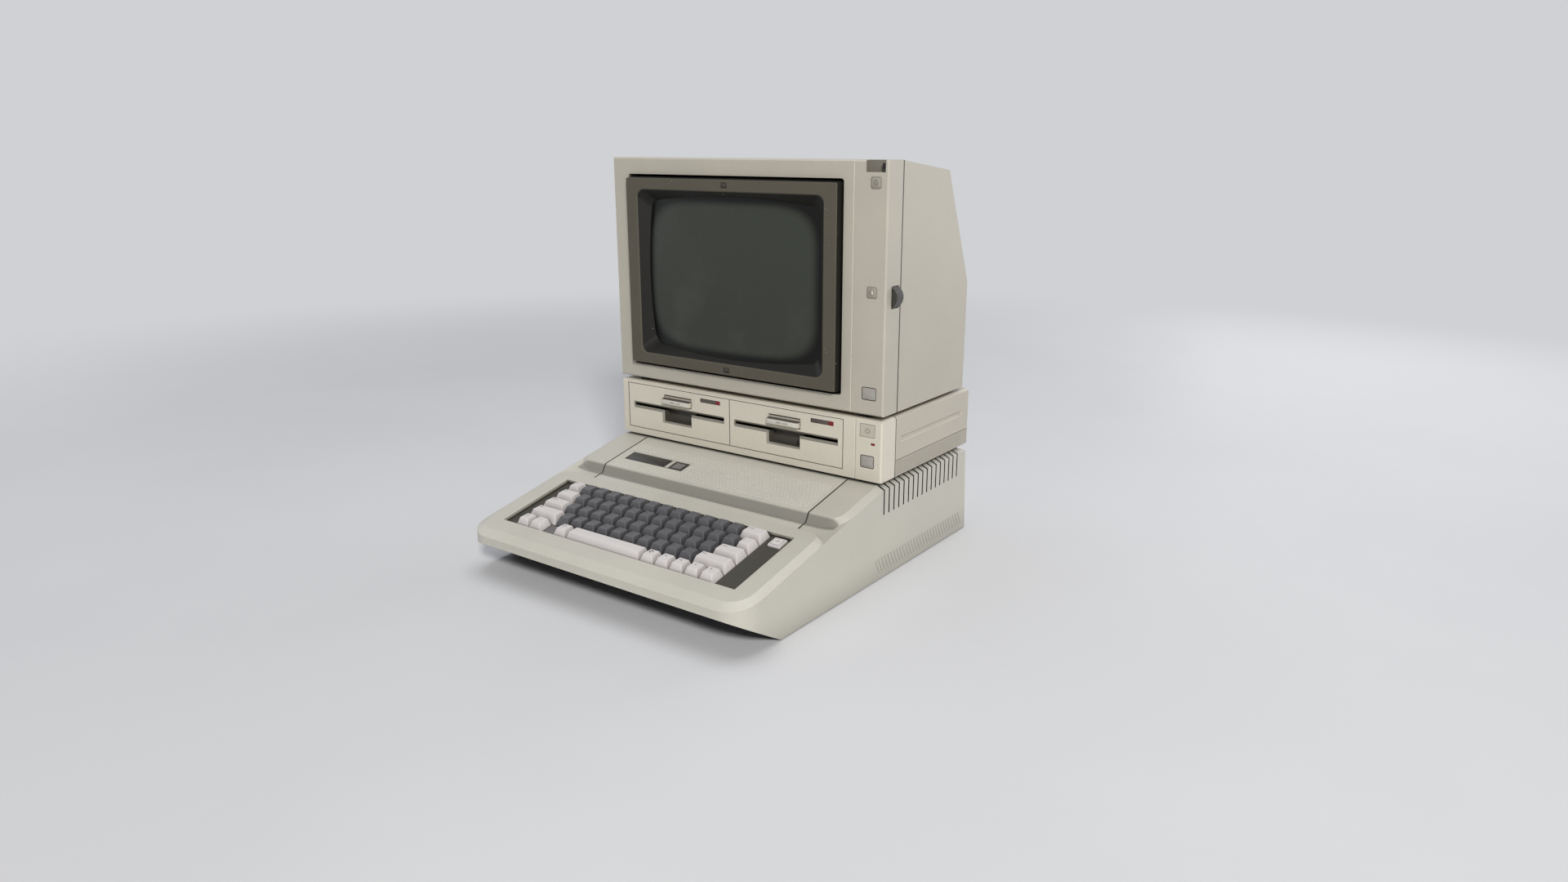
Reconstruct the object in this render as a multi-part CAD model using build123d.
from build123d import *
import os
from math import cos, radians, sin, sqrt, tan

# A desktop computer in three stacked units: a wedge case with a keyboard, a double disk drive
# and a monitor whose dark screen frame tilts. Millimetres, X right, Y to the rear, Z up.
# The origin is on the desk, in the middle of the footprint.

# Computer case, outside
bezel_side = 29.3
case_wall = 3.0
desk_gap = 1.0
nose_front = -221.4
nose_bottom = 36.6
nose_corner = 30.0
undercut_rear = -158.9
key_slope = 12.55
slope_front = -192.5
slope_front_height = 56.0
rear_bottom = 219.2
rear_lean = 7.4 / 99.0
bevel_width = 8.4
bevel_drop = 4.0
nose_bevel = 11.0

# Keyboard bezel, valley and raised deck, measured up the slope
bezel_start = -19.5
bezel_rear_margin = 16.1
bezel_rear_corner = 12.0
bezel_rear_lean = 0.475
valley_depth = 8.0
valley_side = 30.0
valley_length = 31.5
deck_corner = 10.0
deck_face_lean = 0.9125
pad_depth = 9.0
roof_wall = 3.0
roof_step = 3.5

# Lid, its ribbed panel and name plate
lid_side = 45.0
lid_seam = 1.0
lid_front_margin = 4.7
lid_rear_height = 88.0
ledge_width = 5.0
ledge_thickness = 2.0
panel_side = 4.0
panel_front_margin = 6.6
panel_length = 51.7
panel_rear_margin = 14.6
panel_corner = 8.0
panel_rib_pitch = 3.1
panel_rib_width = 1.7
panel_rib_height = 0.5
plate_side = 5.5
plate_width = 91.2
plate_front_margin = 12.8
plate_length = 20.2
plate_depth = 1.6
plate_bevel = 1.3
plate_thickness = 0.7
plate_bar_inset = 26.8
plate_bar_width = 4.3
plate_bar_height = 0.4

# Side vents and ribs
vent_rear_margin = 27.7
vent_pitch = 10.425
vent_count = 17
vent_width = 2.6
vent_height = 31.6
vent_reach = 9.0
side_rib_rear_margin = 20.3
side_rib_count = 31
side_rib_pitch = 6.32
side_rib_bottom = 8.6
side_rib_top = 24.0
side_rib_run = 8.0
side_rib_width = 2.6
side_rib_height = 0.4

# Bottom pan and feet
pan_thickness = 2.5
pan_gap = 0.4
pan_flange = 10.0
apron_set_back = 0.8
apron_thickness = 2.5
foot_radius = 9.0
foot_side = 32.0
foot_front_margin = 11.4
foot_rear_margin = 23.2

# Keyboard
well_left_margin = 17.39
well_right_margin = 27.79
well_front_margin = 0.35
well_rear_margin = 2.6
key_pitch = 19.05
key_gap = 1.0
field_units = 14.5
row_count = 5
surround_top = -4.0
surround_thickness = 2.0
surround_lip = 7.0
surround_rim = 1.0
field_clearance = 0.6
cap_skirt = 1.0
cap_front_height = 8.5
cap_rear_height = 7.1
cap_set_back = 6.2
cap_rear_inset = 0.35
cap_side_inset = 3.2
cap_wall = 1.2
stem_width = 4.0
stem_depth = 3.0
stem_drop = 3.75
stem_clearance = 0.2
switch_size = 11.0
switch_height = 8.0
switch_shift = 0.8
switch_plate_top = -10.0
switch_plate_thickness = 1.0
switch_plate_clearance = 0.2
key_board_top = -14.0
board_thickness = 1.6
reset_right_margin = 5.7
reset_width = 16.0
reset_rear_margin = 2.7
reset_depth = 15.5
reset_rise = 2.5
reset_inset = 1.0
reset_clearance = 0.5
reset_switch_height = 6.5
tile_thickness = 1.2
tile_leg = 3.0

# Inside the computer
main_board_gap = 12.0
main_board_side = 15.0
main_board_length = 215.0
main_board_rear_margin = 14.2
main_board_height = 10.0
standoff_radius = 3.0
chip_length = 20.0
chip_width = 7.5
chip_height = 4.0
chip_columns = 9
chip_rows = 5
chip_pitch_y = 13.0
chip_margin = 12.0
slot_count = 7
slot_right_margin = 90.0
slot_left_margin = 38.0
slot_width = 9.0
slot_length = 110.0
slot_height = 12.0
slot_rear_margin = 23.0
supply_side = 7.0
supply_width = 80.0
supply_length = 216.0
supply_rear_margin = 23.2
supply_height = 66.0
supply_cover = 1.2

# Rear of the computer
inlet_inset = 14.0
inlet_width = 28.0
inlet_height = 20.0
inlet_bottom = 34.0
inlet_wall = 2.0
inlet_depth = 13.0
inlet_pin_width = 4.0
inlet_pin_thickness = 2.0
inlet_pin_length = 10.0
inlet_pin_spacing = 7.0
window_clearance = 0.3
rocker_inset = 62.0
rocker_width = 13.0
rocker_height = 20.0
rocker_frame = 2.5
rocker_depth = 9.0
rocker_pin_radius = 1.5
rocker_angle = 8.0
rocker_valley = 1.5
port_left_margin = 18.0
port_right_margin = 58.0
port_count = 5
port_width = 34.0
port_height = 13.0
port_depth = 16.0
port_recess = 6.0
port_wall = 2.0

# Disk drive unit
drive_side = 4.0
drive_foot_height = 2.5
drive_height = 67.1
drive_depth = 198.1
drive_overhang = 2.2
fascia_depth = 28.5
unit_seam = 0.5
fascia_wall = 3.0
drive_case_wall = 3.5
drive_seam_up = 18.2
drive_edge_bevel = 2.5
fascia_edge_bevel = 1.5
drive_groove_front_margin = 40.0
drive_groove_rear_margin = 15.1
drive_groove_up = 36.7
drive_groove_height = 6.5
drive_groove_depth = 1.8
drive_rib_margin = 34.7
drive_rib_count = 29
drive_rib_pitch = 5.2
drive_rib_up = 2.8
drive_rib_height = 12.4
drive_rib_run = -6.0
bay_side = 10.5
bay_shift = 1.7
controls_width = 48.1
bay_up = 8.1
bay_height = 54.8
face_gap = 0.25
face_set_back = 0.2
face_thickness = 3.2
strip_side = 32.7
strip_width = 1.6
strip_depth = 0.8

# Openings in a drive face, from the middle of the face
slot_half = 71.0
mouth_up = 24.1
mouth_height = 8.4
slit_up = 2.7
slit_height = 3.1
slot_lip_depth = 2.6
finger_left = -25.0
finger_right = 21.3
finger_up = 11.5
finger_depth = 14.0
finger_bevel = 2.0
finger_wall = 1.5
latch_axis_back = 3.2
latch_up = 40.1
latch_barrel = 5.0
latch_left = -21.1
latch_length = 42.6
latch_reach = 4.5
latch_face_drop = 3.5
latch_face_height = 6.1
latch_opening_gap = 0.3
latch_swing_gap = 1.7
latch_pin_radius = 1.5
latch_pin_length = 3.0
latch_boss = 5.0
latch_boss_depth = 7.0
shaft_gap = 0.06
lamp_left = 36.1
lamp_length = 28.7
lamp_up = 45.9
lamp_height = 3.8
lamp_lens = 6.0
lamp_depth = 4.0
lamp_gap = 0.15

# Drive unit's control strip
power_width = 17.9
power_side = 8.9
power_up = 48.4
power_height = 13.6
power_gap = 0.35
power_stroke = 2.0
power_button_depth = 12.0
power_guide_wall = 2.0
power_lamp_width = 4.5
power_lamp_side = 8.6
power_lamp_up = 40.1
power_lamp_height = 2.3
emblem_width = 17.0
emblem_side = 9.0
emblem_up = 14.4
emblem_height = 14.0
emblem_depth = 0.8
emblem_corner = 2.0

# Mechanism of one drive
chassis_half_width = 73.0
chassis_front_margin = 7.7
chassis_rear_margin = 16.4
chassis_sheet = 1.6
chassis_top_margin = 11.9
spindle_back = 75.0
spindle_radius = 4.0
bearing_wall = 4.0
bearing_height = 7.0
flywheel_radius = 35.0
flywheel_thickness = 4.0
hub_radius = 18.0
hub_height = 3.0
hub_drop = 1.7
running_gap = 0.5
rail_spacing = 44.0
rail_radius = 2.0
rail_up = 24.2
rail_start = 122.7
rail_length = 50.0
rail_bracket = 2.0
rail_bracket_half = 30.0
carriage_set_back = 3.0
carriage_length = 20.0
carriage_half_width = 27.0
carriage_drop = 4.5
carriage_height = 26.5
head_gap_below = 1.2
head_gap_above = 1.7
head_slot_depth = 15.0
drive_board_start = 38.7
drive_board_length = 123.0
drive_chip_rows = 3
drive_chip_pitch = 39.0
drive_chip_pitch_x = 27.0

# Monitor
monitor_left_margin = 24.1
monitor_right_margin = 51.7
monitor_foot_height = 4.8
monitor_top_margin = 18.3
monitor_bottom_margin = 16.9
bezel_depth = 29.0
bezel_front_wall = 3.5
bezel_wall = 3.0
bezel_edge_bevel = 1.5
frame_side_gap = 2.05
frame_end_gap = 2.7
opening_corner = 3.0
flange_depth = 18.0
flange_wall = 2.0
crease_side = 39.5
crease_width = 0.9
crease_depth = 0.45
housing_step = 0.5
shoulder_back = 127.0
shoulder_drop = 11.8
housing_depth = 181.0
knee_up = 122.0
housing_foot_inset = 0.6
housing_wall = 3.0
roof_vent_count = 18
roof_vent_pitch = 14.0
roof_vent_width = 3.0
roof_vent_start = 51.7
roof_vent_length = 50.0
board_post_radius = 4.0
monitor_board_up = 12.3
monitor_board_side = 36.2
monitor_board_start = 38.7
monitor_board_length = 118.0
transformer_size = 34.0
transformer_inset = 40.0
transformer_height = 30.0
heat_sink_length = 40.0
heat_sink_thickness = 3.0
heat_sink_inset = 20.0
heat_sink_height = 28.0
can_count = 4
can_side = 60.0
can_pitch = 28.0
can_inset = 30.0
can_radius = 9.0
can_height = 20.0

# Tilting screen frame and picture tube
frame_proud = 8.0
frame_side = 15.0
frame_end = 11.55
frame_draft = 1.45
frame_corner = 2.0
frame_depth = 24.0
frame_wall = 2.5
frame_web = 9.0
window_half_width = 129.8
window_half_height = 95.5
window_corner = 9.0
window_slope = 1.1
window_depth = 20.0
glass_radius = 850.0
glass_set_back = 1.0
glass_gap = 0.1
glass_side = 3.8
glass_end = 2.5
glass_corner = 24.0
glass_rim_depth = 21.7
glass_thickness = 6.0
funnel_length = 77.0
funnel_half = 16.5
neck_radius = 14.5
neck_length = 50.0
neck_wall = 2.0
tube_base_length = 6.0
yoke_radius = 34.0
yoke_barrel_radius = 30.0
yoke_length = 26.0
yoke_gap = 0.3
tilt_axis_back = 8.2
tilt_pin_radius = 3.0
tilt_pin_head = 4.2
tilt_pin_head_length = 2.0
tilt_pin_length = 8.0

# Monitor controls
notch_width = 22.2
notch_side = 3.7
notch_drop = 11.7
notch_depth = 9.5
notch_wall = 2.0
switch_width = 6.3
switch_side = 4.3
switch_drop = 8.3
switch_rise = 5.3
switch_reach = 4.0
switch_length = 12.0
switch_gap = 0.3
wheel_inset = 5.8
wheel_drop = 5.5
wheel_radius = 12.2
wheel_back = 12.0
wheel_thickness = 13.0
wheel_shaft = 2.0
wheel_boss = 5.0
wheel_slot_gap = 0.6
wheel_teeth = 36
wheel_tooth = 0.7
monitor_emblem_width = 17.5
monitor_emblem_side = 8.6
monitor_emblem_up = 16.0
monitor_emblem_height = 13.9

# Screws
screw_head = 3.5
screw_head_length = 2.0
screw_shank = 2.0
screw_length = 9.0
screw_gap = 0.1

# Worked-out sizes: the keyboard and the case about it
slope = radians(key_slope)
slope_normal = (0, -sin(slope), cos(slope))
board_tilt = Plane((0, slope_front, slope_front_height), (1, 0, 0), slope_normal).location
field_half = field_units * key_pitch / 2
field_middle = (well_left_margin - well_right_margin) / 2
field_left = field_middle - field_half
well_half_width = field_half + (well_left_margin + well_right_margin) / 2
well_length = row_count * key_pitch - key_gap + well_front_margin + well_rear_margin
field_rear = well_length - well_rear_margin
reset_left = well_half_width - reset_right_margin - reset_width
reset_start = well_length - reset_rear_margin - reset_depth
case_half_width = well_half_width + bezel_side
inner_half_width = case_half_width - case_wall
pad_half_width = case_half_width - bevel_width
side_grow = bevel_width / bevel_drop
nose_grow = nose_bevel / bevel_drop
valley_flat_half = case_half_width - valley_side
bezel_end = well_length + bezel_rear_margin
deck_start = bezel_end + valley_length
lid_half_width = case_half_width - lid_side
lid_front = bezel_end + lid_front_margin
panel_half_width = lid_half_width - panel_side
panel_start = deck_start + panel_front_margin
panel_end = panel_start + panel_length
flat_height = slope_front_height + (panel_end + panel_rear_margin) * sin(slope)
deck_edge_height = flat_height - bevel_drop / cos(slope)
plate_left = plate_side - panel_half_width
plate_right = plate_left + plate_width
plate_start = panel_start + plate_front_margin
plate_end = plate_start + plate_length
plate_bar_left = plate_right - plate_bar_inset
plate_bar_right = plate_bar_left + plate_bar_width
vent_first = rear_bottom - vent_rear_margin - (vent_count - 1) * vent_pitch
vent_bottom = flat_height - vent_height
vent_inner = case_half_width - vent_reach
side_rib_first = rear_bottom - side_rib_rear_margin - (side_rib_count - 1) * side_rib_pitch
foot_x = case_half_width - foot_side
foot_front = undercut_rear + foot_front_margin
foot_rear = rear_bottom - foot_rear_margin

# Worked-out sizes: inside the computer and behind it
supply_left = supply_side - inner_half_width
supply_right = supply_left + supply_width
supply_rear = rear_bottom - supply_rear_margin
supply_front = supply_rear - supply_length
inlet_left = supply_left + inlet_inset
rocker_middle = supply_left + rocker_inset
main_board_left = supply_right + main_board_gap
main_board_right = inner_half_width - main_board_side
main_board_width = main_board_right - main_board_left
main_board_rear = rear_bottom - main_board_rear_margin
main_board_front = main_board_rear - main_board_length
chip_pitch_x = (main_board_width - 2 * chip_margin - chip_length) / (chip_columns - 1)
slot_first = main_board_left + slot_left_margin
slot_pitch = (main_board_width - slot_left_margin - slot_right_margin) / (slot_count - 1)
slot_front = main_board_rear - slot_rear_margin - slot_length
port_first = main_board_left + port_left_margin
port_pitch = (main_board_width - port_left_margin - port_right_margin) / (port_count - 1)

# Worked-out sizes: the drive unit
drive_half_width = case_half_width - drive_side
drive_bottom = flat_height + drive_foot_height
drive_top = drive_bottom + drive_height
drive_rear = rear_bottom + drive_overhang
drive_front = drive_rear - drive_depth
drive_seam_height = drive_bottom + drive_seam_up
drive_seam_top = drive_seam_height + unit_seam / 2
drive_seam_bottom = drive_seam_height - unit_seam / 2
drive_shell_front = drive_front + fascia_depth + unit_seam
drive_groove_front = drive_front + drive_groove_front_margin
drive_groove_rear = drive_rear - drive_groove_rear_margin
drive_groove_bottom = drive_bottom + drive_groove_up
drive_groove_top = drive_groove_bottom + drive_groove_height
drive_rib_first = drive_front + drive_rib_margin
drive_rib_bottom = drive_bottom + drive_rib_up
drive_rib_top = drive_rib_bottom + drive_rib_height
bay_left = bay_side - drive_half_width
bay_right = drive_half_width - controls_width
bay_middle = (bay_left + bay_right) / 2 + bay_shift
bay_bottom = drive_bottom + bay_up
bay_top = bay_bottom + bay_height
strip_x = drive_half_width - strip_side
slot_mouth_bottom = bay_bottom + mouth_up
slot_mouth_top = slot_mouth_bottom + mouth_height
slit_bottom = slot_mouth_bottom + slit_up
slit_top = slit_bottom + slit_height
finger_bottom = bay_bottom + finger_up
latch_axis_height = bay_bottom + latch_up
latch_face_bottom = latch_axis_height - latch_face_drop
latch_face_top = latch_face_bottom + latch_face_height
lamp_bottom = bay_bottom + lamp_up
power_right = drive_half_width - power_side
power_left = power_right - power_width
power_bottom = drive_bottom + power_up
power_top = power_bottom + power_height
power_lamp_right = drive_half_width - power_lamp_side
power_lamp_left = power_lamp_right - power_lamp_width
power_lamp_bottom = drive_bottom + power_lamp_up
power_lamp_top = power_lamp_bottom + power_lamp_height
emblem_right = drive_half_width - emblem_side
emblem_left = emblem_right - emblem_width
emblem_bottom = drive_bottom + emblem_up
emblem_top = emblem_bottom + emblem_height
chassis_front = drive_front + chassis_front_margin
chassis_rear = drive_rear - chassis_rear_margin
chassis_top = drive_top - chassis_top_margin
hub_top = slit_bottom - hub_drop
rail_height = drive_bottom + rail_up
rail_front = drive_front + rail_start
rail_rear = rail_front + rail_length
carriage_front = rail_front + carriage_set_back
carriage_bottom = rail_height - carriage_drop
carriage_top = carriage_bottom + carriage_height
head_slot_bottom = slit_bottom - head_gap_below
head_slot_top = slit_top + head_gap_above
drive_board_front = drive_front + drive_board_start
drive_board_rear = drive_board_front + drive_board_length

# Worked-out sizes: the monitor
monitor_front = drive_front
monitor_bottom = drive_top + monitor_foot_height
housing_front = monitor_front + bezel_depth + unit_seam
frame_half_width = window_half_width + frame_side
frame_half_height = window_half_height + frame_end
opening_half_width = frame_half_width + frame_draft + frame_side_gap
opening_half_height = frame_half_height + frame_draft + frame_end_gap
monitor_half_width = opening_half_width + (monitor_left_margin + monitor_right_margin) / 2
screen_middle = (monitor_left_margin - monitor_right_margin) / 2
screen_height = monitor_bottom + monitor_bottom_margin + opening_half_height
monitor_top = screen_height + opening_half_height + monitor_top_margin
face_plane = monitor_front - frame_proud
glass_half_width = window_half_width - glass_side
glass_half_height = window_half_height - glass_end
glass_rim = monitor_front + glass_rim_depth
funnel_end = glass_rim + funnel_length
neck_end = funnel_end + neck_length
tilt_axis_y = monitor_front + tilt_axis_back
crease_x = monitor_half_width - crease_side
housing_top_front = monitor_top - housing_step
housing_shoulder = monitor_front + shoulder_back
housing_shoulder_height = monitor_top - shoulder_drop
housing_rear = monitor_front + housing_depth
housing_rear_height = monitor_bottom + knee_up
housing_foot_rear = housing_rear - housing_foot_inset
roof_vent_front = monitor_front + roof_vent_start
roof_vent_rear = roof_vent_front + roof_vent_length
monitor_board_height = monitor_bottom + monitor_board_up
monitor_board_half = monitor_half_width - monitor_board_side
monitor_board_front = monitor_front + monitor_board_start
monitor_board_rear = monitor_board_front + monitor_board_length
can_first = can_side - monitor_board_half
notch_right = monitor_half_width - notch_side
notch_left = notch_right - notch_width
notch_bottom = monitor_top - notch_drop
switch_right = monitor_half_width - switch_side
switch_left = switch_right - switch_width
switch_bottom = monitor_top - switch_drop
switch_top = switch_bottom + switch_rise
wheel_x = monitor_half_width - wheel_inset
wheel_height = screen_height - wheel_drop
wheel_front = monitor_front + wheel_back
monitor_emblem_right = monitor_half_width - monitor_emblem_side
monitor_emblem_left = monitor_emblem_right - monitor_emblem_width
monitor_emblem_bottom = monitor_bottom + monitor_emblem_up
monitor_emblem_top = monitor_emblem_bottom + monitor_emblem_height

# Longer than the whole object, for cuts that run right through
far = 1200.0


# Shapes that everything uses

def block(x, y, z):
    # a box from its two limits along each axis
    sizes = [high - low for low, high in (x, y, z)]
    middles = [(high + low) / 2 for low, high in (x, y, z)]
    return Pos(*middles) * Box(*sizes)


def around(middle, size):
    # the two limits of a size about its middle
    return (middle - size / 2, middle + size / 2)


def slope_block(x, s, h):
    # a box in the keyboard's own frame: across, up the slope, and above it
    return board_tilt * block(x, s, h)


def on_slope(s, h):
    # Y and Z of a point up the slope and above it
    y = slope_front + s * cos(slope) - h * sin(slope)
    z = slope_front_height + s * sin(slope) + h * cos(slope)
    return (y, z)


def crease(h):
    # Y and Z where a surface parallel to the slope meets one parallel to the flat deck
    z = flat_height + h / cos(slope)
    return (slope_front + (flat_height - slope_front_height) / tan(slope), z)


def prism_x(points, low, high):
    # an outline of (Y, Z) points, stretched along X
    face = Plane((low, 0, 0), (0, 1, 0), (1, 0, 0)) * Polygon(*points, align=None)
    return extrude(face, high - low, dir=(1, 0, 0))


def prism_y(points, low, high):
    # an outline of (X, Z) points, stretched along Y
    face = Plane((0, low, 0), (1, 0, 0), (0, -1, 0)) * Polygon(*points, align=None)
    return extrude(face, high - low, dir=(0, 1, 0))


def rounded(x, y, front_radius=0.0, rear_radius=0.0):
    # a flat rectangle with its near and far corners rounded
    sketch = Rectangle(x[1] - x[0], y[1] - y[0])
    if front_radius:
        sketch = fillet(sketch.vertices().group_by(Axis.Y)[0], front_radius)
    if rear_radius:
        sketch = fillet(sketch.vertices().group_by(Axis.Y)[-1], rear_radius)
    return Pos((x[0] + x[1]) / 2, (y[0] + y[1]) / 2) * sketch


def upright(x, z, y, radius=0.0):
    # a flat rectangle in a plane of constant Y, facing the viewer in front
    sketch = Rectangle(x[1] - x[0], z[1] - z[0])
    if radius:
        sketch = fillet(sketch.vertices(), radius)
    place = Plane(((x[0] + x[1]) / 2, y, (z[0] + z[1]) / 2), (1, 0, 0), (0, -1, 0))
    return place * sketch


def slab_y(x, z, y, radius=0.0):
    # a rectangle with rounded corners, stretched along Y
    return extrude(upright(x, z, y[0], radius), y[1] - y[0], dir=(0, 1, 0))


def funnel_y(near, far_end, y, near_radius=0.0, far_radius=0.0):
    # straight walls from one rectangle, given as (X limits, Z limits), to another behind it
    front = upright(*near, y[0], near_radius)
    back = upright(*far_end, y[1], far_radius)
    return loft([front, back], ruled=True)


def grown(limits, amount):
    return (limits[0] - amount, limits[1] + amount)


def front_groove(x, width, depth, y):
    # a V groove down a front plane at y
    half = width / 2
    points = [(x - half, y - 1), (x - half, y), (x, y + depth), (x + half, y), (x + half, y - 1)]
    return extrude(Polygon(*points, align=None), 2 * far, dir=(0, 0, 1))


def rod_y(x, z, radius, y):
    return Plane((x, y[0], z), (1, 0, 0), (0, -1, 0)) * extrude(Circle(radius), y[0] - y[1])


def rod_x(y, z, radius, x):
    return Plane((x[0], y, z), (0, 1, 0), (1, 0, 0)) * extrude(Circle(radius), x[1] - x[0])


def rod_z(x, y, radius, z):
    return Pos(x, y, z[0]) * extrude(Circle(radius), z[1] - z[0])


def slanted_ribs(side, face, first, count, pitch, z, run, width, height):
    # low slanted ribs on a side wall, each leaning by run as it goes down
    ribs = []
    for index in range(count):
        top = first + index * pitch
        points = [(top, z[1]), (top + width, z[1]), (top + run + width, z[0]), (top + run, z[0])]
        limits = sorted((side * (face - height), side * (face + height)))
        ribs.append(prism_x(points, *limits))
    return ribs


def screw(x, y, z):
    # a screw whose head is flush with a rear wall at y
    head = rod_y(x, z, screw_head, (y - screw_head_length, y))
    return head + rod_y(x, z, screw_shank, (y - screw_length, y - screw_head_length))


def screw_hole(x, y, z):
    head = rod_y(x, z, screw_head + screw_gap, (y - screw_head_length, y + screw_length))
    return head + rod_y(x, z, screw_shank + screw_gap, (y - screw_length, y))


def save(node, *shapes):
    solids = [solid for shape in shapes for solid in shape.solids()]
    print(node, len(solids), "solids")
    export_step(Compound(solids), "parts/" + node + ".step")


os.makedirs("parts", exist_ok=True)


# Computer case

def rear_wall(z, inset=0.0):
    # Y of the leaning rear wall at a height
    return rear_bottom - inset - z * rear_lean


def side_profile(h, inset):
    # side view of the case with its top lowered by h and its rear wall set in
    top = crease(h)
    return [
        (nose_front - far, -far), on_slope(-far, h), top,
        (rear_wall(top[1], inset), top[1]), (rear_wall(-far, inset), -far),
    ]


def below_undercut(rise):
    # everything under the slanted face from the nose back to the desk, moved up by rise
    slant = nose_bottom / (undercut_rear - nose_front)
    front = nose_front - case_wall
    profile = [
        (front, nose_bottom + case_wall * slant + rise), (undercut_rear + rise / slant, 0),
        (undercut_rear + rise / slant, -far), (front, -far),
    ]
    return prism_x(profile, -far, far)


def plan_body():
    # the case's plan outline, undercut below the nose
    outline = rounded((-case_half_width, case_half_width), (nose_front, rear_bottom), nose_corner)
    column = Pos(0, 0, desk_gap) * extrude(outline, flat_height + nose_bottom)
    return column - below_undercut(0.0)


def valley_floor():
    # everything above the valley's floor, which rises to the bevel's lower edge at both sides
    rise = valley_depth - bevel_drop
    run = case_half_width - valley_flat_half
    bend = (run ** 2 + rise ** 2) / (2 * rise)
    middle = run / 2
    middle_height = -valley_depth + bend - sqrt(bend ** 2 - middle ** 2)
    corner = (case_half_width, -bevel_drop)
    flat = (valley_flat_half, -valley_depth)
    between = (valley_flat_half + middle, middle_height)
    edges = [
        Line((-flat[0], flat[1]), flat),
        ThreePointArc(flat, between, corner),
        Line(corner, (case_half_width, far)),
        Line((case_half_width, far), (-case_half_width, far)),
        Line((-case_half_width, far), (-corner[0], corner[1])),
        ThreePointArc((-corner[0], corner[1]), (-between[0], between[1]), (-flat[0], flat[1])),
    ]
    face = make_face(Curve() + edges)
    length = deck_start + bevel_width - (bezel_end - nose_corner)
    body = extrude(Plane((0, 0, 0), (1, 0, 0), (0, -1, 0)) * face, length, dir=(0, 1, 0))
    return board_tilt * (Pos(0, bezel_end - nose_corner, 0) * body)


def bezel_pad():
    # the raised frame about the keyboard, bevelled at the front and sides
    wide = pad_half_width
    low = wide + pad_depth * side_grow
    top = rounded((-wide, wide), (bezel_start, bezel_end), nose_corner - bevel_width, bezel_rear_corner)
    base = rounded(
        (-low, low), (bezel_start - pad_depth * nose_grow, bezel_end + pad_depth * bezel_rear_lean),
        nose_corner - bevel_width + pad_depth * side_grow, bezel_rear_corner + pad_depth * side_grow,
    )
    return board_tilt * loft([Pos(0, 0, -pad_depth) * base, top], ruled=True)


def deck_pad():
    # the raised deck: its sloping front and its flat rear, bevelled at the sides
    wide = pad_half_width
    low = wide + pad_depth * side_grow
    top = rounded((-wide, wide), (deck_start, far), deck_corner)
    base_start = deck_start - pad_depth * deck_face_lean
    base = rounded((-low, low), (base_start, far), deck_corner + pad_depth * side_grow)
    sloping = board_tilt * loft([Pos(0, 0, -pad_depth) * base, top], ruled=True)
    middle = crease(0)[0]
    sloping = sloping & block((-far, far), (-far, middle), (0, far))
    drop = flat_height - deck_edge_height
    share = pad_depth / bevel_drop
    rear = rear_wall(deck_edge_height)
    flat_top = rounded((-wide, wide), (middle, rear - bevel_width))
    flat_base = rounded((-low, low), (middle, rear + bevel_width * (share - 1)))
    base_height = flat_height - drop * share
    flat = loft([Pos(0, 0, base_height) * flat_base, Pos(0, 0, flat_height) * flat_top], ruled=True)
    return sloping, flat


def case_outside():
    body = plan_body()
    wedge = body & prism_x(side_profile(-bevel_drop, 0.0), -far, far)
    wedge = wedge - valley_floor()
    limits = body & prism_x(side_profile(bevel_drop, 0.0), -far, far)
    for pad in (bezel_pad(), *deck_pad()):
        wedge = (wedge + pad) & limits
    return wedge


def case_inside():
    # the hollow of the case, open below
    outline = rounded(
        (-inner_half_width, inner_half_width), (nose_front + case_wall, rear_bottom), nose_corner - case_wall,
    )
    column = Pos(0, 0, -flat_height) * extrude(outline, 3 * flat_height)
    low = -valley_depth - roof_wall
    under = -bevel_drop - roof_wall
    step = roof_step
    top = crease(under)
    valley_start = bezel_end - step
    valley_end = deck_start + step
    profile = [
        (-far, -far), on_slope(-far, under), on_slope(valley_start, under), on_slope(valley_start, low),
        on_slope(valley_end, low), on_slope(valley_end, under), top,
        (rear_wall(top[1], case_wall), top[1]), (rear_wall(-far, case_wall), -far),
    ]
    hollow = column & prism_x(profile, -far, far)
    pocket = pad_half_width - step
    hollow = hollow + slope_block(
        (-pocket, pocket), (bezel_start + bevel_width, valley_start - 1), (under - 1, -roof_wall),
    )
    roof = crease(-roof_wall)
    end = rear_wall(flat_height, bevel_width + case_wall)
    deck = [
        on_slope(valley_end + 1, under - 1), on_slope(valley_end + 1, -roof_wall), roof,
        (end, roof[1]), (end, top[1] - 1), (top[0], top[1] - 1),
    ]
    return hollow + prism_x(deck, -pocket, pocket)


def side_vents():
    slots = []
    for index in range(vent_count):
        y = vent_first + index * vent_pitch
        for side in (-1, 1):
            x = sorted((side * vent_inner, side * far))
            slots.append(block(x, around(y, vent_width), (vent_bottom, flat_height + 1)))
    return slots


def lid_zone(gap):
    # the region of the case's top that lifts off, less a gap all round
    half = lid_half_width - gap
    start = lid_front + gap
    low = lid_rear_height + gap
    inside = rear_wall(low, 3 * case_wall)
    floor = -valley_depth - roof_wall - 1
    points = [
        on_slope(start, far), on_slope(start, floor), (inside, lid_rear_height / 2),
        (inside, low), (far, low), (far, far),
    ]
    return prism_x(points, -half, half)


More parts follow.
